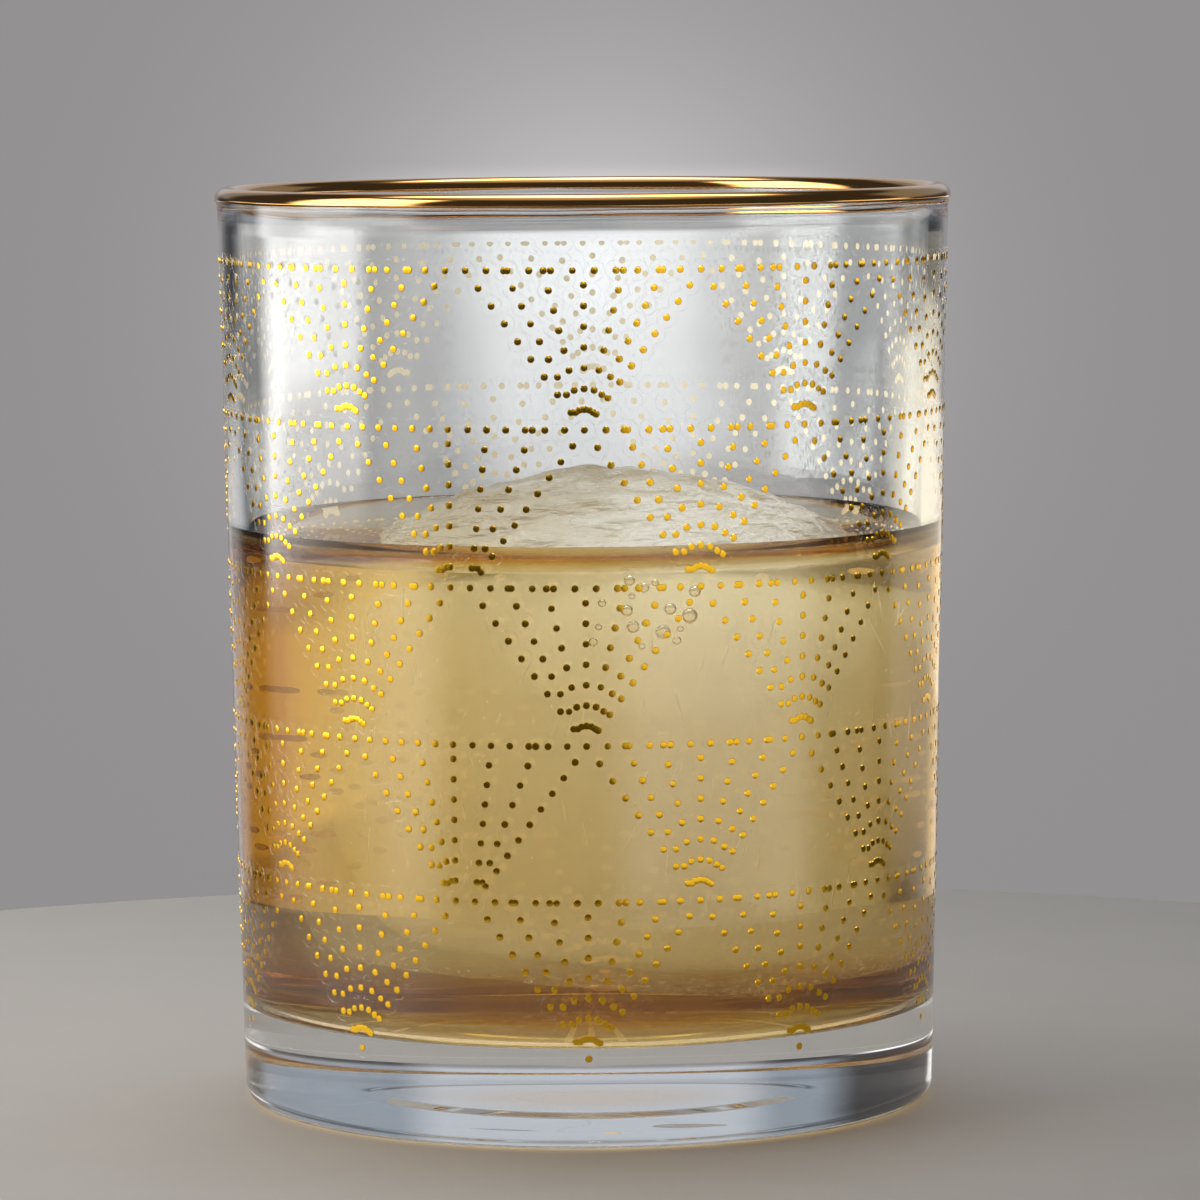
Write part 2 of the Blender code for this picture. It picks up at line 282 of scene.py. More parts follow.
def soda_lime_glass():
    """Pressed, fire-polished soda-lime glass: clear and bright, a little matt at the mark underneath, where
    an amber tint paints the drink's light.
    """
    material, tree = new_material("soda_lime_glass")
    glass = add_node(
        tree,
        "ShaderNodeBsdfPrincipled",
        {"Base Color": linear("#FBFDFD"), "Roughness": 0.0, "IOR": GLASS_IOR, "Transmission Weight": 1.0},
    )
    place = add_node(tree, "ShaderNodeTexCoord").outputs["Object"]
    height = add_node(tree, "ShaderNodeSeparateXYZ", {"Vector": place}).outputs["Z"]
    away = off_axis(tree, place)
    inside = add_node(
        tree,
        "ShaderNodeMapRange",
        {"Value": away, "From Min": VALVE_RADIUS, "From Max": 0.3 * VALVE_RADIUS, "To Max": VALVE_HAZE_AND_PAINTED_LIGHT},
    )
    under = add_node(tree, "ShaderNodeMath", {0: height, 1: FLOOR_HEIGHT / 2}, operation="LESS_THAN")
    share = add_node(
        tree, "ShaderNodeMath", {0: inside.outputs[0], 1: under.outputs[0]}, operation="MULTIPLY"
    )
    # matt glass tinted amber: painted light from the drink above, not a colour of the glass
    matt = add_node(tree, "ShaderNodeBsdfTranslucent", {"Color": linear("#F0D28C")})
    clear = lamps_pass(tree, glass, "#F4F6F6")
    pressed = add_node(
        tree, "ShaderNodeMixShader", {0: share.outputs[0], 1: clear.outputs[0], 2: matt.outputs[0]}
    )
    return end_material(material, surface=pressed)


def fired_bright_gold():
    """Liquid bright gold, brushed on the lip and fired: a mirror with fine brush lines around the rim."""
    material, tree = new_material("fired_bright_gold")
    place = add_node(tree, "ShaderNodeTexCoord").outputs["Object"]
    strokes = (1 / BRUSH_LENGTH, 1 / BRUSH_LENGTH, 1 / BRUSH_PITCH)
    lines = add_node(tree, "ShaderNodeMapping", {"Vector": place, "Scale": strokes})
    brush = add_node(tree, "ShaderNodeTexNoise", {"Vector": lines.outputs[0], "Scale": 1.0, "Detail": 3.0})
    rough = add_node(
        tree, "ShaderNodeMapRange", {"Value": brush.outputs["Fac"], "To Min": 0.04, "To Max": 0.13}
    )
    bump = add_node(
        tree, "ShaderNodeBump", {"Height": brush.outputs["Fac"], "Strength": 0.15, "Distance": 0.05 * MM}
    )
    gold = add_node(
        tree,
        "ShaderNodeBsdfPrincipled",
        {
            "Base Color": linear("#DFA864"),
            "Metallic": 1.0,
            "Roughness": rough.outputs[0],
            "Normal": bump.outputs[0],
        },
    )
    return end_material(material, surface=gold)


def fired_gold_paste():
    """Burnished gold paste, screened in raised dots and fired: rich yellow, pale seen through the glass,
    with a painted glow on the underside.
    """
    material, tree = new_material("fired_gold_paste")
    place = add_node(tree, "ShaderNodeTexCoord").outputs["Object"]
    grain = add_node(tree, "ShaderNodeTexNoise", {"Vector": place, "Scale": 1 / PASTE_GRAIN, "Detail": 2.0})
    rough = add_node(
        tree, "ShaderNodeMapRange", {"Value": grain.outputs["Fac"], "To Min": 0.06, "To Max": 0.18}
    )
    bump = add_node(
        tree, "ShaderNodeBump", {"Height": grain.outputs["Fac"], "Strength": 0.2, "Distance": 0.03 * MM}
    )
    level = add_node(tree, "ShaderNodeVectorMath", {0: place, 1: (1.0, 1.0, 0.0)}, operation="MULTIPLY")
    spoke = add_node(tree, "ShaderNodeVectorMath", {0: level.outputs[0]}, operation="NORMALIZE")
    face = add_node(tree, "ShaderNodeNewGeometry").outputs["True Normal"]
    outward = add_node(
        tree, "ShaderNodeVectorMath", {0: face, 1: spoke.outputs[0]}, operation="DOT_PRODUCT"
    )
    under = add_node(
        tree, "ShaderNodeMapRange", {"Value": outward.outputs["Value"], "From Min": -0.6, "From Max": -0.9}
    )
    tone = add_node(
        tree,
        "ShaderNodeMix",
        {0: under.outputs[0], 6: linear("#F6C430"), 7: linear("#EBDDBC")},
        data_type="RGBA",
    )
    dull = add_node(
        tree, "ShaderNodeMix", {0: under.outputs[0], 2: rough.outputs[0], 3: 0.6}, data_type="FLOAT"
    )
    metal = add_node(tree, "ShaderNodeMath", {0: 1.0, 1: under.outputs[0]}, operation="SUBTRACT")
    # painted glow: the pale underside gives off light of its own, standing in for the light in the glass
    glow = add_node(tree, "ShaderNodeMath", {0: under.outputs[0], 1: PASTE_PAINTED_GLOW}, operation="MULTIPLY")
    gold = add_node(
        tree,
        "ShaderNodeBsdfPrincipled",
        {
            "Base Color": tone.outputs[2],
            "Metallic": metal.outputs[0],
            "Roughness": dull.outputs[0],
            "Normal": bump.outputs[0],
            "Emission Color": linear("#EBDDBC"),
            "Emission Strength": glow.outputs[0],
        },
    )
    return end_material(material, surface=gold)


def clear_flux():
    """The clear frit that seals the print: a low bead of glaze round the dots, a faint glint."""
    material, tree = new_material("clear_flux")
    glint = add_node(tree, "ShaderNodeBsdfGlossy", {"Color": linear("#FFFFFF"), "Roughness": 0.1})
    clear = add_node(tree, "ShaderNodeBsdfTransparent", {"Color": linear("#FFFFFF")})
    glaze = add_node(tree, "ShaderNodeMixShader", {0: FLUX_GLINT, 1: clear.outputs[0], 2: glint.outputs[0]})
    return end_material(material, surface=glaze)


def spirit_surface():
    """The drink's skin against the air and the glass: clear and perfectly smooth."""
    material, tree = new_material("spirit_surface")
    liquid = add_node(
        tree,
        "ShaderNodeBsdfPrincipled",
        {"Base Color": linear("#FFFFFF"), "Roughness": 0.0, "IOR": SPIRIT_IOR, "Transmission Weight": 1.0},
    )
    return end_material(material, surface=lamps_pass(tree, liquid, "#F3DDA8"))


def amber_spirit(name, strength):
    """Spirit let down with melted ice: pale straw in a thin layer and deep amber in a thick one."""
    material, tree = new_material(name)
    colour = add_node(tree, "ShaderNodeVolumeAbsorption", {"Color": linear("#EFDA65"), "Density": strength})
    return end_material(material, volume=colour)


def clouded_ice():
    """Ice frozen in a mould: clear and faintly clouded where wet, frosted in fine ridges where dry."""
    material, tree = new_material("clouded_ice")
    place = add_node(tree, "ShaderNodeTexCoord").outputs["Object"]
    white = add_node(tree, "ShaderNodeBsdfDiffuse", {"Color": linear("#F4F4F1")})
    glow = add_node(tree, "ShaderNodeBsdfTranslucent", {"Color": linear("#F4F4F1")})
    haze = add_node(tree, "ShaderNodeMixShader", {0: 0.5, 1: white.outputs[0], 2: glow.outputs[0]})
    through = add_node(tree, "ShaderNodeBsdfTransparent", {"Color": linear("#FFFFFF")})
    cloud = add_node(tree, "ShaderNodeTexNoise", {"Vector": place, "Scale": 1 / HAZE_SIZE, "Detail": 4.0})
    milk = add_node(
        tree,
        "ShaderNodeMapRange",
        {"Value": cloud.outputs["Fac"], "From Min": 0.35, "From Max": 0.7, "To Min": 0.02, "To Max": 0.14},
    )
    parts = add_node(tree, "ShaderNodeSeparateXYZ", {"Vector": place})
    across, height = parts.outputs["X"], parts.outputs["Z"]
    speckle = add_node(
        tree, "ShaderNodeTexNoise", {"Vector": place, "Scale": 1 / SPECKLE_SIZE, "Detail": 2.0}
    )
    low = add_node(
        tree, "ShaderNodeMapRange", {"Value": height, "From Min": SPECKLES_FROM, "From Max": SPECKLES_TO}
    )
    grain = add_node(
        tree,
        "ShaderNodeMapRange",
        {"Value": speckle.outputs["Fac"], "From Min": 0.5, "From Max": 0.68, "To Max": 0.35},
    )
    foot = add_node(tree, "ShaderNodeMath", {0: low.outputs[0], 1: grain.outputs[0]}, operation="MULTIPLY")
    veil = add_node(
        tree, "ShaderNodeMath", {0: milk.outputs[0], 1: foot.outputs[0]}, operation="ADD", use_clamp=True
    )
    wet = add_node(
        tree, "ShaderNodeMixShader", {0: veil.outputs[0], 1: through.outputs[0], 2: haze.outputs[0]}
    )
    lines = [count / MM for count in RIME_LINES]
    level = add_node(tree, "ShaderNodeMapping", {"Vector": place, "Scale": lines})
    ridges = add_node(tree, "ShaderNodeTexNoise", {"Vector": level.outputs[0], "Scale": 1.0, "Detail": 5.0})
    bump = add_node(
        tree, "ShaderNodeBump", {"Height": ridges.outputs["Fac"], "Strength": 1.0, "Distance": 2.0 * MM}
    )
    patches = add_node(
        tree, "ShaderNodeTexNoise", {"Vector": place, "Scale": 1 / FROST_PATCH, "Detail": 3.0}
    )
    rime = add_node(
        tree, "ShaderNodeMath", {0: ridges.outputs["Fac"], 1: patches.outputs["Fac"]}, operation="MULTIPLY"
    )
    crust = add_node(
        tree,
        "ShaderNodeMapRange",
        {"Value": rime.outputs[0], "From Min": 0.21, "From Max": 0.34, "To Max": 0.6},
    )
    bare = add_node(
        tree,
        "ShaderNodeMapRange",
        {"Value": across, "From Min": FROST_FROM, "From Max": FROST_TO, "To Min": 0.08},
    )
    frost = add_node(
        tree, "ShaderNodeMath", {0: crust.outputs[0], 1: bare.outputs[0]}, operation="MULTIPLY"
    )
    skin = add_node(
        tree,
        "ShaderNodeBsdfPrincipled",
        {
            "Base Color": linear("#FAFBFA"),
            "Roughness": 0.04,
            "IOR": ICE_IOR,
            "Transmission Weight": 1.0,
            "Normal": bump.outputs[0],
        },
    )
    tree.links.new(bump.outputs[0], white.inputs["Normal"])
    frosted = add_node(
        tree, "ShaderNodeMixShader", {0: frost.outputs[0], 1: skin.outputs[0], 2: haze.outputs[0]}
    )
    dry = lamps_pass(tree, frosted, "#FFFFFF")
    above = add_node(
        tree,
        "ShaderNodeMapRange",
        {"Value": height, "From Min": FILL_HEIGHT - 0.2 * MM, "From Max": FILL_HEIGHT + 0.3 * MM},
    )
    ice = add_node(tree, "ShaderNodeMixShader", {0: above.outputs[0], 1: wet.outputs[0], 2: dry.outputs[0]})
    bubbles = add_node(
        tree,
        "ShaderNodeVolumeScatter",
        {"Color": linear("#F8F8F5"), "Density": BLOCK_MILK, "Anisotropy": 0.3},
    )
    return end_material(material, surface=ice, volume=bubbles)


def milky_ice(name, veil, thickness):
    """Ice that froze last and holds the air: dense fine bubbles, a soft white cloud with hardly an edge."""
    material, tree = new_material(name)
    white = add_node(tree, "ShaderNodeBsdfDiffuse", {"Color": linear("#F4F4F1")})
    through = add_node(tree, "ShaderNodeBsdfTransparent", {"Color": linear("#FFFFFF")})
    skin = add_node(tree, "ShaderNodeMixShader", {0: veil, 1: through.outputs[0], 2: white.outputs[0]})
    air = add_node(
        tree,
        "ShaderNodeVolumeScatter",
        {"Color": linear("#FBF8F0"), "Density": thickness, "Anisotropy": 0.2},
    )
    return end_material(material, surface=skin, volume=air)


def frozen_needles():
    """Air drawn out into fine needles as the block froze: white strokes and specks that catch the light."""
    material, tree = new_material("frozen_needles")
    white = add_node(tree, "ShaderNodeBsdfDiffuse", {"Color": linear("#FFFFFF")})
    glow = add_node(tree, "ShaderNodeBsdfTranslucent", {"Color": linear("#FFFFFF")})
    air = add_node(tree, "ShaderNodeMixShader", {0: 0.5, 1: white.outputs[0], 2: glow.outputs[0]})
    return end_material(material, surface=air)


def trapped_air():
    """A bubble of air in the drink: it bends light the other way, with a dark edge and a bright middle."""
    material, tree = new_material("trapped_air")
    air = add_node(
        tree, "ShaderNodeBsdfGlass", {"Color": linear("#FFFFFF"), "Roughness": 0.0, "IOR": 1 / SPIRIT_IOR}
    )
    return end_material(material, surface=lamps_pass(tree, air, "#FFFFFF"))


def wall_radius(height):
    """Outer radius of the tapered wall."""
    return BASE_RADIUS + (RIM_RADIUS - BASE_RADIUS) * height / HEIGHT


def bore_radius(height):
    """Inner radius of the tapered wall."""
    return wall_radius(height) - (WALL_AT_TABLE + (WALL_AT_RIM - WALL_AT_TABLE) * height / HEIGHT)


def arc(centre, radii, start, end, steps):
    """Points on an arc or a quarter of an ellipse, its angles in degrees from the radius towards +Z."""
    angles = [math.radians(start + (end - start) * i / steps) for i in range(steps + 1)]
    return [(centre[0] + radii[0] * math.cos(a), centre[1] + radii[1] * math.sin(a)) for a in angles]


def stretch(start, end, steps):
    """Points along a straight run, without its ends."""
    return [
        (start[0] + (end[0] - start[0]) * i / steps, start[1] + (end[1] - start[1]) * i / steps)
        for i in range(1, steps)
    ]


def on_wall(angle, height, lift=0.0):
    """A point on the outside of the glass, at an angle in degrees from the front."""
    turn = math.radians(angle)
    radius = wall_radius(height) + lift
    return Vector((radius * math.sin(turn), -radius * math.cos(turn), height))


def add_piece(name, mesh, material):
    piece = bpy.data.objects.new(name, mesh)
    bpy.context.scene.collection.objects.link(piece)
    mesh.materials.append(material)
    return piece


def settle(piece):
    """Gives a piece the plain mesh that its modifiers make, and takes them off."""
    graph = bpy.context.evaluated_depsgraph_get()
    mesh = bpy.data.meshes.new_from_object(piece.evaluated_get(graph), depsgraph=graph)
    mesh.name = piece.name
    piece.modifiers.clear()
    piece.data = mesh


def turned(name, profile, material, segments, ring=False, waver=None):
    """A skin turned about Z from (radius, height) points, each moved by waver where that is given."""
    points, rings, faces = [], [], []
    for radius, height in profile:
        count = segments if radius > 0 else 1
        rings.append(range(len(points), len(points) + count))
        for i in range(count):
            angle = math.tau * i / segments
            r, z = waver(angle, radius, height) if waver else (radius, height)
            points.append((r * math.cos(angle), r * math.sin(angle), z))
    for upper, lower in zip(rings, rings[1:] + rings[:1] if ring else rings[1:]):
        for i in range(segments):
            j = (i + 1) % segments
            corners = [upper[i % len(upper)], lower[i % len(lower)]]
            corners += [lower[j % len(lower)], upper[j % len(upper)]]
            faces.append(tuple(dict.fromkeys(corners)))
    mesh = bpy.data.meshes.new(name)
    mesh.from_pydata(points, [], faces)
    tidy = bmesh.new()
    tidy.from_mesh(mesh)
    bmesh.ops.recalc_face_normals(tidy, faces=tidy.faces)
    tidy.to_mesh(mesh)
    tidy.free()
    mesh.shade_smooth()
    return add_piece(name, mesh, material)


def floor_fillet(start, end, wetting=0.0):
    """The rounding between the floor and the bore, which a drink wets a little deeper."""
    radius = FLOOR_FILLET + wetting
    return arc((bore_radius(FILLET_TOP) - FLOOR_FILLET, FILLET_TOP), (radius, radius), start, end, 12)


def lip_centre():
    return ((wall_radius(LIP_TOP) + bore_radius(LIP_TOP)) / 2, LIP_TOP - LIP_RADIUS)


def tumbler():
    """The glass itself: floor, bore, lip, wall, heel and the recess under the base."""
    neck = LIP_TOP - LIP_NECK
    fillet = floor_fillet(-90, 0)
    heel_radii = (wall_radius(HEEL_RISE) - FOOT_OUTER_RADIUS, HEEL_RISE)
    heel = arc((FOOT_OUTER_RADIUS, HEEL_RISE), heel_radii, 0, -90, 10)
    crown = RECESS_DEPTH + RECESS_CROWN
    inner_neck, outer_neck = (bore_radius(neck), neck), (wall_radius(neck), neck)
    lip = arc(lip_centre(), (LIP_RADIUS, LIP_RADIUS), 180, 0, 20)
    slope = (lip[0][0] - inner_neck[0]) / (lip[0][1] - neck)
    fire_line = []
    for up, deep in FIRE_LINE_SECTION:
        height = LIP_TOP - FIRE_LINE + up * FIRE_LINE_WIDTH
        fire_line.append((inner_neck[0] + slope * (height - neck) + deep * FIRE_LINE_DEPTH, height))
    profile = [
        (0.0, FLOOR_HEIGHT),
        *stretch((0.0, FLOOR_HEIGHT), fillet[0], 24),
        *fillet,
        *stretch(fillet[-1], inner_neck, 60),
        inner_neck,
        *fire_line,
        *lip,
        outer_neck,
        *stretch(outer_neck, heel[0], 40),
        *heel,
        (FOOT_INNER_RADIUS, 0.0),
        (RECESS_RADIUS, RECESS_DEPTH),
        *stretch((RECESS_RADIUS, RECESS_DEPTH), (VALVE_RADIUS + VALVE_EDGE, crown), 12),
        (VALVE_RADIUS + VALVE_EDGE, crown),
        (VALVE_RADIUS, crown + VALVE_DEPTH),
        *stretch((VALVE_RADIUS, crown + VALVE_DEPTH), (0.0, crown + VALVE_DEPTH), 10),
        (0.0, crown + VALVE_DEPTH),
    ]

    def ripple(angle, radius, height):
        if (radius, height) in fire_line:
            way = Vector((math.cos(angle), math.sin(angle), 0.3))
            return radius, height + noise.noise(way * 3) * FIRE_LINE_WAVER
        place = Vector((radius * math.cos(angle), radius * math.sin(angle), height))
        if RECESS_DEPTH <= height < FLOOR_HEIGHT / 2 and radius <= RECESS_RADIUS:
            return radius, height + noise.noise(place / UNDER_RIPPLE_SIZE) * UNDER_RIPPLE
        if not FLOOR_HEIGHT <= height < neck or radius >= bore_radius(height) + WALL_AT_RIM / 2:
            return radius, height
        push = noise.noise(place / BORE_RIPPLE_SIZE) * BORE_RIPPLE
        return (radius + push, height) if height > FILLET_TOP else (radius, height + push)

    piece = turned("tumbler", profile, soda_lime_glass(), segments=256, waver=ripple)
    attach(piece, "glass")
    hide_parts("glass_body")


def gilded_lip():
    """Gold over the lip, with the slightly uneven edges that a brush leaves."""
    centre = lip_centre()
    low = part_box("rim_gilding")[0]
    inner = LIP_RADIUS - GOLD_BITE
    outer = LIP_RADIUS + GOLD_SKIN
    edge_out, edge_in = low[2], low[2] + GOLD_LAP
    profile = [
        (centre[0] - outer, edge_in),
        *arc(centre, (outer, outer), 180, 0, 18),
        (centre[0] + outer, edge_out),
        (centre[0] + inner, edge_out),
        *arc(centre, (inner, inner), 0, 180, 18),
        (centre[0] - inner, edge_in),
    ]

    def brush_edge(angle, radius, height):
        if height > edge_in:
            return radius, height
        place = Vector((math.cos(angle) * 4, math.sin(angle) * 4, radius * 400))
        return radius, height + noise.noise(place) * GOLD_WAVER

    piece = turned("gilded_lip", profile, fired_bright_gold(), segments=256, ring=True, waver=brush_edge)
    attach(piece, "glass")
    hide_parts("rim_gilding")


def fan_dots(middle, line, rays):
    """Angles and heights of one fan's dots, from its point up to the line."""
    dots = []
    for end, steps in rays:
        for k in range(1, math.floor(steps) + 1):
            share = k / steps
            if share == 1 and abs(end) == 1:
                continue
            dots.append((middle + end * FAN_PITCH / 2 * share, line - ROW_PITCH * (1 - share)))
    return dots


def row_dots(row, line):
    """Angles and heights of a row's dots. Every other row is set off by half a fan, which the seam cuts."""
    last = SEAM_EDGE + FANS * FAN_PITCH
    half = FAN_PITCH / 2
    if row % 2 == 0:
        fans = [(SEAM_EDGE + half + i * FAN_PITCH, FULL_FAN) for i in range(FANS)]
        stations = [SEAM_EDGE + i * FAN_PITCH / LINE_DOTS for i in range(FANS * LINE_DOTS + 1)]
    else:
        fans = [(SEAM_EDGE, RIGHT_OF_SEAM), (last, LEFT_OF_SEAM)]
        fans += [(SEAM_EDGE + i * FAN_PITCH, FULL_FAN) for i in range(1, FANS)]
        halves = [i * half / SEAM_LINE_DOTS for i in range(SEAM_LINE_DOTS)]
        stations = [SEAM_EDGE + h for h in halves] + [last - h for h in halves]
        start = SEAM_EDGE + half
        stations += [start + i * FAN_PITCH / LINE_DOTS for i in range((FANS - 1) * LINE_DOTS + 1)]
    dots = [(angle, line) for angle in stations]
    for middle, rays in fans:
        dots += fan_dots(middle, line, rays)
        if row == ROWS - 1:
            dots.append((middle, line - ROW_PITCH))
    apart = {(round(angle, 2), round(height / MM, 2)): (angle, height) for angle, height in dots}
    return list(apart.values())


def flux_edges(dots):
    """The outline of a row's film: the open stretches of the circles round its dots."""
    degree = math.radians(1) * wall_radius(dots[0][1])
    flat = sorted((angle * degree, height) for angle, height in dots)
    runs = []
    first = 0
    for x, y in flat:
        while flat[first][0] < x - 2 * FILM_MARGIN:
            first += 1
        near = []
        for p in flat[first:]:
            if p[0] > x + 2 * FILM_MARGIN:
                break
            if p != (x, y) and math.dist(p, (x, y)) < 2 * FILM_MARGIN:
                near.append(p)
        run = []
        for k in range(FLUX_STEPS + 1):
            turn = math.tau * k / FLUX_STEPS
            spot = (x + FILM_MARGIN * math.cos(turn), y + FILM_MARGIN * math.sin(turn))
            if any(math.dist(spot, p) < FILM_MARGIN * 0.999 for p in near):
                runs.append(run)
                run = []
            else:
                run.append((spot[0] / degree, spot[1]))
        runs.append(run)
    return [run for run in runs if len(run) > 1]


def begin_tree(name, inputs, result):
    """A node tree with named inputs and one shape as its result, and what it is given."""
    tree = bpy.data.node_groups.new(name, "GeometryNodeTree")
    for label, kind in inputs:
        tree.interface.new_socket(label, in_out="INPUT", socket_type=kind)
    tree.interface.new_socket(result, in_out="OUTPUT", socket_type="NodeSocketGeometry")
    return tree, tree.nodes.new("NodeGroupInput").outputs


def end_tree(tree, shape, material):
    """The tree's result: the shape as one plain mesh, with its finish."""
    solid = add_node(tree, "GeometryNodeRealizeInstances", {"Geometry": shape})
    finish = add_node(tree, "GeometryNodeSetMaterial", {"Geometry": solid.outputs[0], "Material": material})
    add_node(tree, "NodeGroupOutput", {0: finish.outputs[0]})
    return tree


def set_on_points(tree, points, shape, facing, size):
    """The shape on every point, turned to the point's own facing and of the point's own size."""
    turn = add_node(tree, "FunctionNodeAlignRotationToVector", {"Vector": facing}, axis="Z")
    return add_node(
        tree,
        "GeometryNodeInstanceOnPoints",
        {"Points": points, "Instance": shape, "Rotation": turn.outputs[0], "Scale": size},
    ).outputs[0]


def dot_tree(material):
    """Geometry nodes that set a low gold dome on every point, facing along the point's own facing."""
    inputs = [("Points", "NodeSocketGeometry")]
    inputs += [(size, "NodeSocketFloat") for size in ("Radius", "Rise", "Dome")]
    tree, given = begin_tree("gold dots", inputs, "Dots")
    facing = add_node(tree, "GeometryNodeInputNamedAttribute", {"Name": "facing"}, data_type="FLOAT_VECTOR")
    size = add_node(tree, "GeometryNodeInputNamedAttribute", {"Name": "size"}, data_type="FLOAT")
    top = add_node(tree, "ShaderNodeMath", {0: given["Radius"], 1: DOT_TOP}, operation="MULTIPLY")
    drop = add_node(
        tree,
        "GeometryNodeMeshCone",
        {
            "Vertices": DOT_SIDES,
            "Fill Segments": 2,
            "Radius Top": top.outputs[0],
            "Radius Bottom": given["Radius"],
            "Depth": given["Rise"],
        },
        fill_type="TRIANGLE_FAN",
    )
    place = tree.nodes.new("GeometryNodeInputPosition").outputs[0]
    away = off_axis(tree, place)
    share = add_node(tree, "ShaderNodeMath", {0: away, 1: given["Radius"]}, operation="DIVIDE")
    curve = add_node(tree, "ShaderNodeMath", {0: share.outputs[0], 1: 2.0}, operation="POWER")
    sink = add_node(tree, "ShaderNodeMath", {0: curve.outputs[0], 1: given["Dome"]}, operation="MULTIPLY")
    down = add_node(tree, "ShaderNodeMath", {0: sink.outputs[0], 1: -1.0}, operation="MULTIPLY")
    shift = add_node(tree, "ShaderNodeCombineXYZ", {"Z": down.outputs[0]})
    domed = add_node(
        tree,
        "GeometryNodeSetPosition",
        {"Geometry": drop.outputs["Mesh"], "Selection": drop.outputs["Top"], "Offset": shift.outputs[0]},
    )
    smooth = add_node(
        tree,
        "GeometryNodeSetShadeSmooth",
        {"Geometry": domed.outputs[0], "Selection": drop.outputs["Side"], "Shade Smooth": False},
    )
    dots = set_on_points(tree, given["Points"], smooth.outputs[0], facing.outputs[0], size.outputs[0])
    return end_tree(tree, dots, material)


def bead_tree(material):
    """Geometry nodes that run a low round bead along every edge of a wire mesh."""
    inputs = (("Wires", "NodeSocketGeometry"), ("Radius", "NodeSocketFloat"))
    tree, given = begin_tree("flux bead", inputs, "Beads")
    line = add_node(tree, "GeometryNodeMeshToCurve", {"Mesh": given["Wires"]})
    section = add_node(
        tree,
        "GeometryNodeCurvePrimitiveCircle",
        {"Resolution": 4, "Radius": given["Radius"]},
        mode="RADIUS",
    )
    bead = add_node(
        tree,
        "GeometryNodeCurveToMesh",
        {"Curve": line.outputs[0], "Profile Curve": section.outputs["Curve"], "Fill Caps": True},
    )
    smooth = add_node(tree, "GeometryNodeSetShadeSmooth", {"Geometry": bead.outputs[0]})
    return end_tree(tree, smooth.outputs[0], material)


def grown(name, seed_mesh, tree, sizes):
    """A piece with the plain mesh that a node tree grows from a seed mesh."""
    piece = bpy.data.objects.new(name, seed_mesh)
    bpy.context.scene.collection.objects.link(piece)
    grow = piece.modifiers.new("Grow", "NODES")
    grow.node_group = tree
    for item in tree.interface.items_tree:
        if item.in_out == "INPUT" and item.name in sizes:
            grow[item.identifier] = sizes[item.name]
    settle(piece)
    return piece


def gold_print():
    """The five printed rows: raised gold dots, and a bead of clear flux round the edge of each film."""
    dots_tree = dot_tree(fired_gold_paste())
    sizes = {"Radius": DOT_RADIUS, "Rise": DOT_RISE, "Dome": DOT_DOME}
    edge_tree = bead_tree(clear_flux())
    for row in range(ROWS):
        node = f"print_row_{row + 1}"
        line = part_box(node)[1][2] - FILM_MARGIN
        dots = row_dots(row, line)
        seeds = bpy.data.meshes.new(f"gold_dots_{row + 1}_seed")
        seeds.from_pydata([on_wall(angle, height, -GOLD_BITE) for angle, height in dots], [], [])
        seeds.attributes.new("facing", "FLOAT_VECTOR", "POINT")
        seeds.attributes.new("size", "FLOAT", "POINT")
        for i, (angle, height) in enumerate(dots):
            out = Vector((math.sin(math.radians(angle)), -math.cos(math.radians(angle)), -WALL_LEAN))
            seeds.attributes["facing"].data[i].vector = out.normalized()
            spread = DOT_SPREAD * noise.noise(Vector((angle, height / MM, row)))
            seeds.attributes["size"].data[i].value = 1 + spread
        piece = grown(f"gold_dots_{row + 1}", seeds, dots_tree, sizes)
        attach(piece, "glass")
        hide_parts(node)
        points, edges = [], []
        for run in flux_edges(dots):
            edges += [(len(points) + i, len(points) + i + 1) for i in range(len(run) - 1)]
            points += [on_wall(angle, height) for angle, height in run]
        wires = bpy.data.meshes.new(f"flux_{row + 1}_seed")
        wires.from_pydata(points, edges, [])
        piece = grown(f"flux_{row + 1}", wires, edge_tree, {"Radius": FLUX_BEAD})
        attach(piece, "glass")


def climb(steep):
    """A liquid that wets a wall: how far off it is and how high it has climbed where it is this steep."""
    slope, wall = math.radians(steep), math.radians(90)
    off = math.log(math.tan(wall / 4) / math.tan(slope / 4))
    off += 2 * (math.cos(wall / 2) - math.cos(slope / 2))
    return CAPILLARY_LENGTH * off, 2 * CAPILLARY_LENGTH * math.sin(slope / 2)


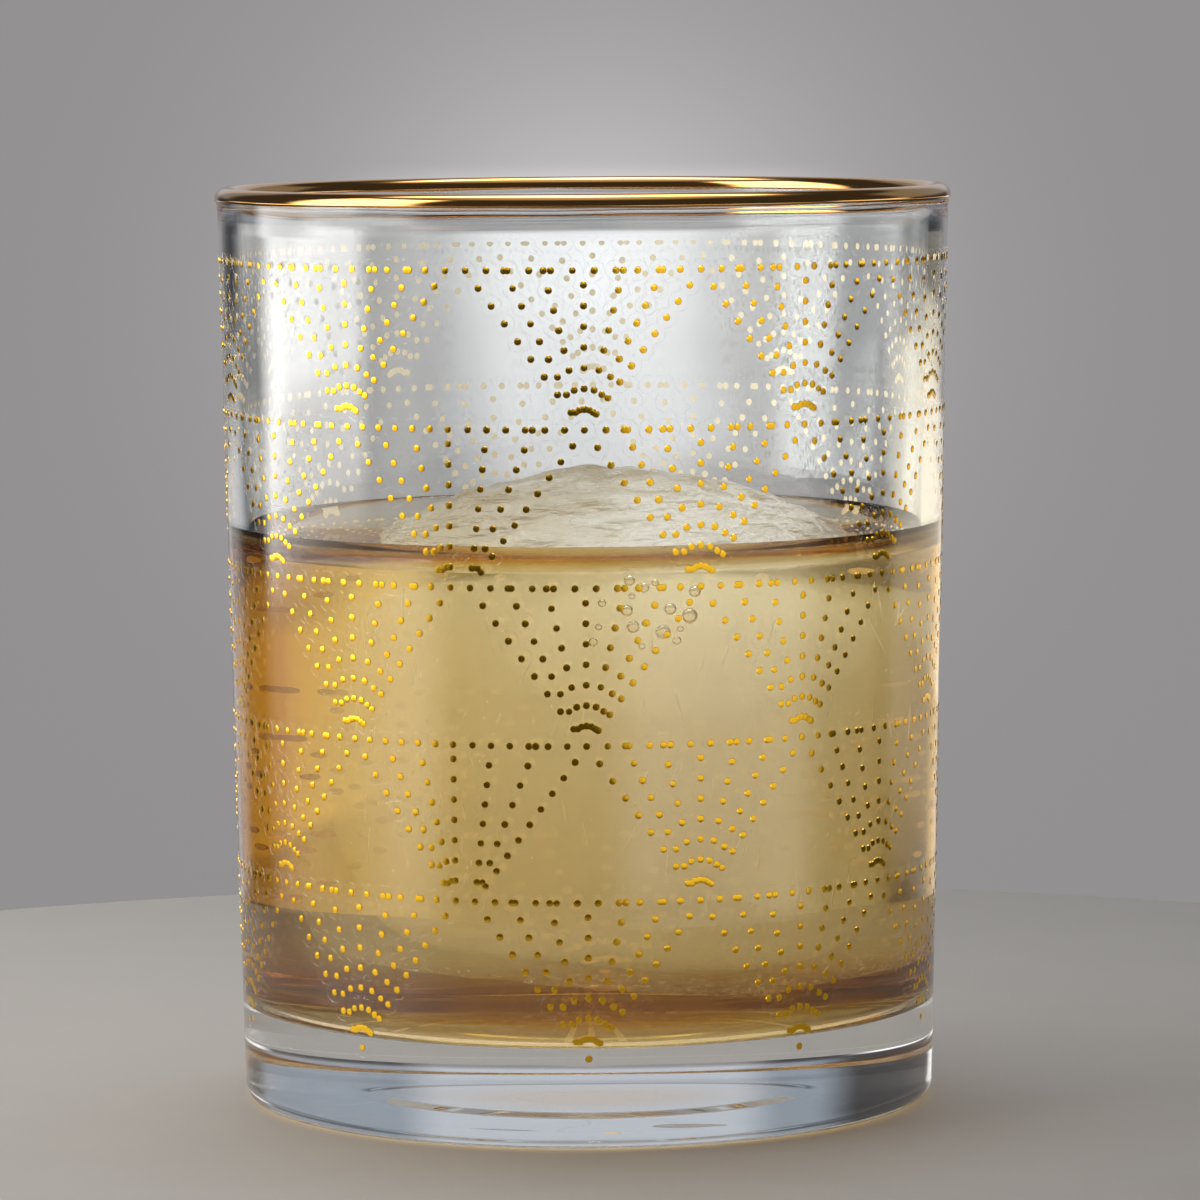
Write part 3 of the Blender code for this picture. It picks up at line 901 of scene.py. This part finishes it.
def drink():
    """The drink: a skin that climbs the glass and wets bore and floor, and its colour, clear of the ice,
    with a deeper layer under the ice as painted shade.
    """
    surface = [
        (bore_radius(FILL_HEIGHT + rise) - off, FILL_HEIGHT + rise)
        for off, rise in (climb(steep) for steep in MENISCUS_SLOPES)
    ]
    brim = (surface[-1][0] + WETTING, surface[-1][1])
    fillet = floor_fillet(0, -90, WETTING)
    side = [brim, *stretch(brim, fillet[0], 20), *fillet, (0.0, FLOOR_HEIGHT - WETTING)]
    rounds = 256
    profile = [(ICE_HOLE, FILL_HEIGHT), *surface, *side]
    skin = turned("drink_surface", profile, spirit_surface(), segments=rounds)
    for vertex in skin.data.vertices[:rounds]:
        vertex.co.x += ICE_MIDDLE.x
    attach(skin, "glass")
    spirit = amber_spirit("amber_spirit", SPIRIT_STRENGTH)
    colour = turned("drink_colour", [(0.0, FILL_HEIGHT), *surface, *side], spirit, segments=128)
    foot = [(ICE_WELL, ICE_FOOT + ICE_WELL_EDGE), (ICE_WELL - ICE_WELL_EDGE, ICE_FOOT), (0.0, ICE_FOOT)]
    well = turned("ice_well", [(0.0, HEIGHT), (ICE_WELL, HEIGHT), *foot], spirit, segments=96)
    for vertex in well.data.vertices:
        vertex.co.x += ICE_WELL_PLACE[0]
        vertex.co.y += ICE_WELL_PLACE[1]
    cut = colour.modifiers.new("Hollow for the ice", "BOOLEAN")
    cut.object = well
    settle(colour)
    bpy.data.objects.remove(well, do_unlink=True)
    # painted shade: a deeper colour in the drink under the ice, where the ice shades it
    shore = [(bore_radius(ICE_FOOT), ICE_FOOT), *fillet]
    shore = [(radius - 2 * WETTING, height + WETTING) for radius, height in shore]
    shaded_spirit = amber_spirit("spirit_painted_shade", UNDER_ICE_SHADE_STRENGTH)
    under_ice_shade = turned("drink_painted_shade", [(0.0, ICE_FOOT), *shore, (0.0, FLOOR_HEIGHT)], shaded_spirit, segments=128)
    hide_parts("drink")
    for piece in (colour, under_ice_shade):
        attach(piece, "glass")


def ice_block():
    """The block of the frame, remeshed evenly, rounded by melting and roughened by frost."""
    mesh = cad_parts["ice"].data.copy()
    mesh.materials.clear()
    merged = bmesh.new()
    merged.from_mesh(mesh)
    bmesh.ops.remove_doubles(merged, verts=merged.verts, dist=0.01 * MM)
    merged.to_mesh(mesh)
    merged.free()
    piece = add_piece("ice_block", mesh, clouded_ice())
    remesh = piece.modifiers.new("Even faces", "REMESH")
    remesh.mode = "VOXEL"
    remesh.voxel_size = ICE_VOXEL
    soften = piece.modifiers.new("Melt", "SMOOTH")
    soften.iterations = ICE_MELT
    settle(piece)
    outward = [vertex.normal.copy() for vertex in piece.data.vertices]
    for vertex, way in zip(piece.data.vertices, outward):
        place = vertex.co / MM
        melt = sum(noise.noise(place / size) * depth for size, depth in MELT_WAVES)
        across, up, depth = FROST_RIDGES
        ridge = noise.noise(Vector((place.x / across, place.y / across, place.z / up))) * depth
        size, depth = FROST_LUMPS
        dry = min(max((place.z - FILL_HEIGHT / MM) / 2, 0.25), 1)
        lump = noise.noise(place / size + Vector((7.0, 3.0, 0.0))) * depth * dry
        vertex.co += way * (melt + lump + ridge * dry) * MM
    piece.data.shade_smooth()
    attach(piece, "ice")
    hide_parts("ice")
    return piece


def ice_heart(block):
    """The milky part inside the block, which follows its shape but stops below the clear dome."""
    mesh = block.data.copy()
    mesh.materials.clear()
    for vertex in mesh.vertices:
        rise = min((vertex.co.z - ICE_FOOT) / CLOUD_TAPER, 1.0)
        share = CLOUD_SHARE - CLOUD_WAIST * (1 - rise) ** 2
        place = ICE_MIDDLE + (vertex.co - ICE_MIDDLE) * Vector((share, share, CLOUD_SHARE))
        above = max(place.z - CLOUD_SHOULDER, 0.0)
        place.z -= above * (1 - CLOUD_FLATNESS)
        vertex.co = place
    heart = add_piece("ice_heart", mesh, milky_ice("milky_heart", HEART_VEIL, HEART_MILK))
    ball = bmesh.new()
    bmesh.ops.create_icosphere(
        ball, subdivisions=5, radius=1.0, matrix=Matrix.LocRotScale(CROWN_PLACE, None, CROWN_RADII)
    )
    dome = bpy.data.meshes.new("ice_crown")
    ball.to_mesh(dome)
    ball.free()
    dome.shade_smooth()
    crown = add_piece("ice_crown", dome, milky_ice("milky_crown", 0.0, CROWN_MILK))
    for piece in (heart, crown):
        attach(piece, "ice")


def bubble_tree(material):
    """Geometry nodes that set a round or drawn-out bubble at every point, of the point's own stretch."""
    inputs = (("Points", "NodeSocketGeometry"), ("Radius", "NodeSocketFloat"), ("Detail", "NodeSocketInt"))
    tree, given = begin_tree("air bubbles", inputs, "Bubbles")
    drawn = add_node(tree, "GeometryNodeInputNamedAttribute", {"Name": "stretch"}, data_type="FLOAT_VECTOR")
    along = add_node(tree, "GeometryNodeInputNamedAttribute", {"Name": "along"}, data_type="FLOAT_VECTOR")
    ball = add_node(
        tree, "GeometryNodeMeshIcoSphere", {"Radius": given["Radius"], "Subdivisions": given["Detail"]}
    )
    smooth = add_node(tree, "GeometryNodeSetShadeSmooth", {"Geometry": ball.outputs["Mesh"]})
    bubbles = set_on_points(tree, given["Points"], smooth.outputs[0], along.outputs[0], drawn.outputs[0])
    return end_tree(tree, bubbles, material)


def blow_bubbles(name, spots, material, detail):
    """A piece with a bubble at each spot: its place, its stretch in millimetres and the way it points."""
    seeds = bpy.data.meshes.new(name + "_seed")
    seeds.from_pydata([place for place, _, _ in spots], [], [])
    seeds.attributes.new("stretch", "FLOAT_VECTOR", "POINT")
    seeds.attributes.new("along", "FLOAT_VECTOR", "POINT")
    for i, (_, size, way) in enumerate(spots):
        seeds.attributes["stretch"].data[i].vector = size
        seeds.attributes["along"].data[i].vector = way
    piece = grown(name, seeds, bubble_tree(material), {"Radius": 1.0 * MM, "Detail": detail})
    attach(piece, "ice")


def ice_bubbles(block):
    """Bubbles of air that cling to the upper front of the block."""
    face = BVHTree.FromPolygons(
        [vertex.co for vertex in block.data.vertices], [polygon.vertices for polygon in block.data.polygons]
    )
    draw = random.Random(BUBBLE_SEED)
    (left, low), (right, high) = BUBBLE_FIELD
    spots = []
    while len(spots) < BUBBLES:
        radius = BUBBLE_SIZES[0] + (BUBBLE_SIZES[1] - BUBBLE_SIZES[0]) * draw.random() ** 2
        eye = Vector((draw.uniform(left, right) * MM, -RIM_RADIUS, draw.uniform(low, high) * MM))
        place = face.ray_cast(eye, Vector((0.0, 1.0, 0.0)))[0]
        if all((place - other).length > (radius + size[0]) * BUBBLE_GAP * MM for other, size, _ in spots):
            spots.append((place, Vector((radius, radius, radius)), Vector((0.0, 0.0, 1.0))))
    blow_bubbles("ice_bubbles", spots, trapped_air(), 3)


def ice_needles():
    """Needles and specks of air just under the skin of the block, drawn out towards the top."""
    draw = random.Random(NEEDLE_SEED)
    spots = []
    for _ in range(NEEDLES):
        angle = math.radians(draw.uniform(0, 360))
        out = Vector((math.sin(angle), -math.cos(angle), 0.0))
        place = Vector((ICE_MIDDLE.x, ICE_MIDDLE.y, draw.uniform(*NEEDLE_HEIGHTS) * MM))
        place += out * draw.uniform(*NEEDLE_DEPTHS) * MM
        thick = draw.uniform(*NEEDLE_THICKNESS)
        long = thick + NEEDLE_LENGTH * draw.random() ** 3
        lean = Vector((draw.uniform(*NEEDLE_LEAN[0]), draw.uniform(*NEEDLE_LEAN[1]), 1.0))
        spots.append((place, Vector((thick, thick, long)), lean.normalized()))
    blow_bubbles("ice_needles", spots, frozen_needles(), 2)


def pale_table():
    """A matt, faintly mottled table top, with a painted pool of amber light under the glass: a glow
    standing in for the light the drink gathers.
    """
    material, tree = new_material("pale_table")
    place = add_node(tree, "ShaderNodeTexCoord").outputs["Object"]
    mottle = add_node(
        tree, "ShaderNodeTexNoise", {"Vector": place, "Scale": 1 / TABLE_MOTTLE, "Detail": 4.0}
    )
    tone = add_node(
        tree,
        "ShaderNodeMix",
        {0: mottle.outputs["Fac"], 6: linear("#9F9A94"), 7: linear("#99948E")},
        data_type="RGBA",
    )
    # painted pool of light: the table glows amber under the glass, in place of the drink's caustic
    outer, inner, strength = PAINTED_POOL_OF_LIGHT
    painted_pool = add_node(
        tree,
        "ShaderNodeMapRange",
        {"Value": off_axis(tree, place), "From Min": outer, "From Max": inner, "To Max": strength},
        interpolation_type="SMOOTHSTEP",
    )
    surface = add_node(
        tree,
        "ShaderNodeBsdfPrincipled",
        {
            "Base Color": tone.outputs[2],
            "Roughness": 0.6,
            "Emission Color": linear("#FAE0A8"),
            "Emission Strength": painted_pool.outputs[0],
        },
    )
    return end_material(material, surface=surface)


def window(tree, value, low, high, soft):
    """1 between two angles in degrees and 0 outside them, with soft edges."""
    low, high, soft = (math.radians(a) for a in (low, high, soft))
    edges = [
        add_node(
            tree,
            "ShaderNodeMapRange",
            {"Value": value, "From Min": start, "From Max": end},
            interpolation_type="SMOOTHSTEP",
        ).outputs[0]
        for start, end in ((low - soft, low + soft), (high + soft, high - soft))
    ]
    return add_node(tree, "ShaderNodeMath", {0: edges[0], 1: edges[1]}, operation="MULTIPLY").outputs[0]


def surround():
    """The studio as a glow all round: a grey backdrop, dim behind the camera, with soft panels."""
    world = bpy.data.worlds.new("grey studio")
    bpy.context.scene.world = world
    world.use_nodes = True
    tree = world.node_tree
    tree.nodes.clear()
    way = add_node(tree, "ShaderNodeTexCoord").outputs["Generated"]
    parts = add_node(tree, "ShaderNodeSeparateXYZ", {"Vector": way})
    front = add_node(tree, "ShaderNodeMath", {0: parts.outputs["Y"], 1: -1.0}, operation="MULTIPLY")
    azimuth = add_node(
        tree, "ShaderNodeMath", {0: parts.outputs["X"], 1: front.outputs[0]}, operation="ARCTAN2"
    ).outputs[0]
    rise = add_node(tree, "ShaderNodeMath", {0: parts.outputs["Z"]}, operation="ARCSINE").outputs[0]
    middle = BACKDROP_MIDDLE.normalized()
    aim = add_node(tree, "ShaderNodeVectorMath", {0: way, 1: middle}, operation="DOT_PRODUCT")
    off = add_node(tree, "ShaderNodeMath", {0: aim.outputs["Value"]}, operation="ARCCOSINE").outputs[0]
    near = add_node(
        tree, "ShaderNodeMapRange", {"Value": off, "From Min": math.radians(BACKDROP_FALL), "From Max": 0.0}
    ).outputs[0]
    lit = add_node(tree, "ShaderNodeMath", {0: near, 1: BACKDROP_FADE}, operation="POWER").outputs[0]
    backdrop = add_node(
        tree, "ShaderNodeMix", {0: lit, 6: linear("#929091"), 7: linear("#E0DEDF")}, data_type="RGBA"
    ).outputs[2]
    front_half = window(tree, azimuth, -BACKDROP_SIDE, BACKDROP_SIDE, 4)
    tone = add_node(
        tree, "ShaderNodeMix", {0: front_half, 6: backdrop, 7: linear("#3E3E40")}, data_type="RGBA"
    ).outputs[2]
    for left, right, side_soft, low, high, end_soft, colour, strength in PANELS:
        across = window(tree, azimuth, left, right, side_soft)
        up = window(tree, rise, low, high, end_soft)
        share = add_node(tree, "ShaderNodeMath", {0: across, 1: up}, operation="MULTIPLY").outputs[0]
        glow = tuple(strength * c for c in linear(colour)[:3]) + (1.0,)
        tone = add_node(
            tree, "ShaderNodeMix", {0: share, 6: tone, 7: glow}, data_type="RGBA", blend_type="ADD"
        ).outputs[2]
    light = add_node(tree, "ShaderNodeBackground", {"Color": tone})
    output = tree.nodes.new("ShaderNodeOutputWorld")
    tree.links.new(light.outputs[0], output.inputs["Surface"])


def studio():
    """A pale round table top under soft light, seen in plain colours."""
    profile = [(0.0, TABLE_TOP), (TABLE_RADIUS, TABLE_TOP), (TABLE_RADIUS, TABLE_UNDER), (0.0, TABLE_UNDER)]
    turned("table_top", profile, pale_table(), segments=128)
    surround()
    bpy.context.scene.view_settings.view_transform = "Standard"
    cycles = bpy.context.scene.cycles
    cycles.max_bounces = cycles.transmission_bounces = cycles.glossy_bounces = 24
    cycles.transparent_max_bounces = 32
    cycles.volume_bounces = 6


def camera():
    """The photograph's camera, from its place, pitch and roll."""
    lens = bpy.data.cameras.new("camera")
    lens.lens = CAMERA_LENS
    lens.sensor_width = 36.0
    lens.clip_start = 0.01
    pitch, roll = math.radians(CAMERA_PITCH), math.radians(CAMERA_ROLL)
    forward = Vector((0.0, math.cos(pitch), -math.sin(pitch)))
    right = Vector((1.0, 0.0, 0.0))
    up = right.cross(forward)
    side = math.cos(roll) * right + math.sin(roll) * up
    top = -math.sin(roll) * right + math.cos(roll) * up
    turn = Matrix((side, top, -forward)).transposed()
    eye = bpy.data.objects.new("camera", lens)
    eye.matrix_world = Matrix.Translation(CAMERA_PLACE) @ turn.to_4x4()
    bpy.context.scene.collection.objects.link(eye)
    bpy.context.scene.camera = eye


camera()
studio()
tumbler()
gilded_lip()
gold_print()
drink()
block = ice_block()
ice_bubbles(block)
ice_needles()
ice_heart(block)
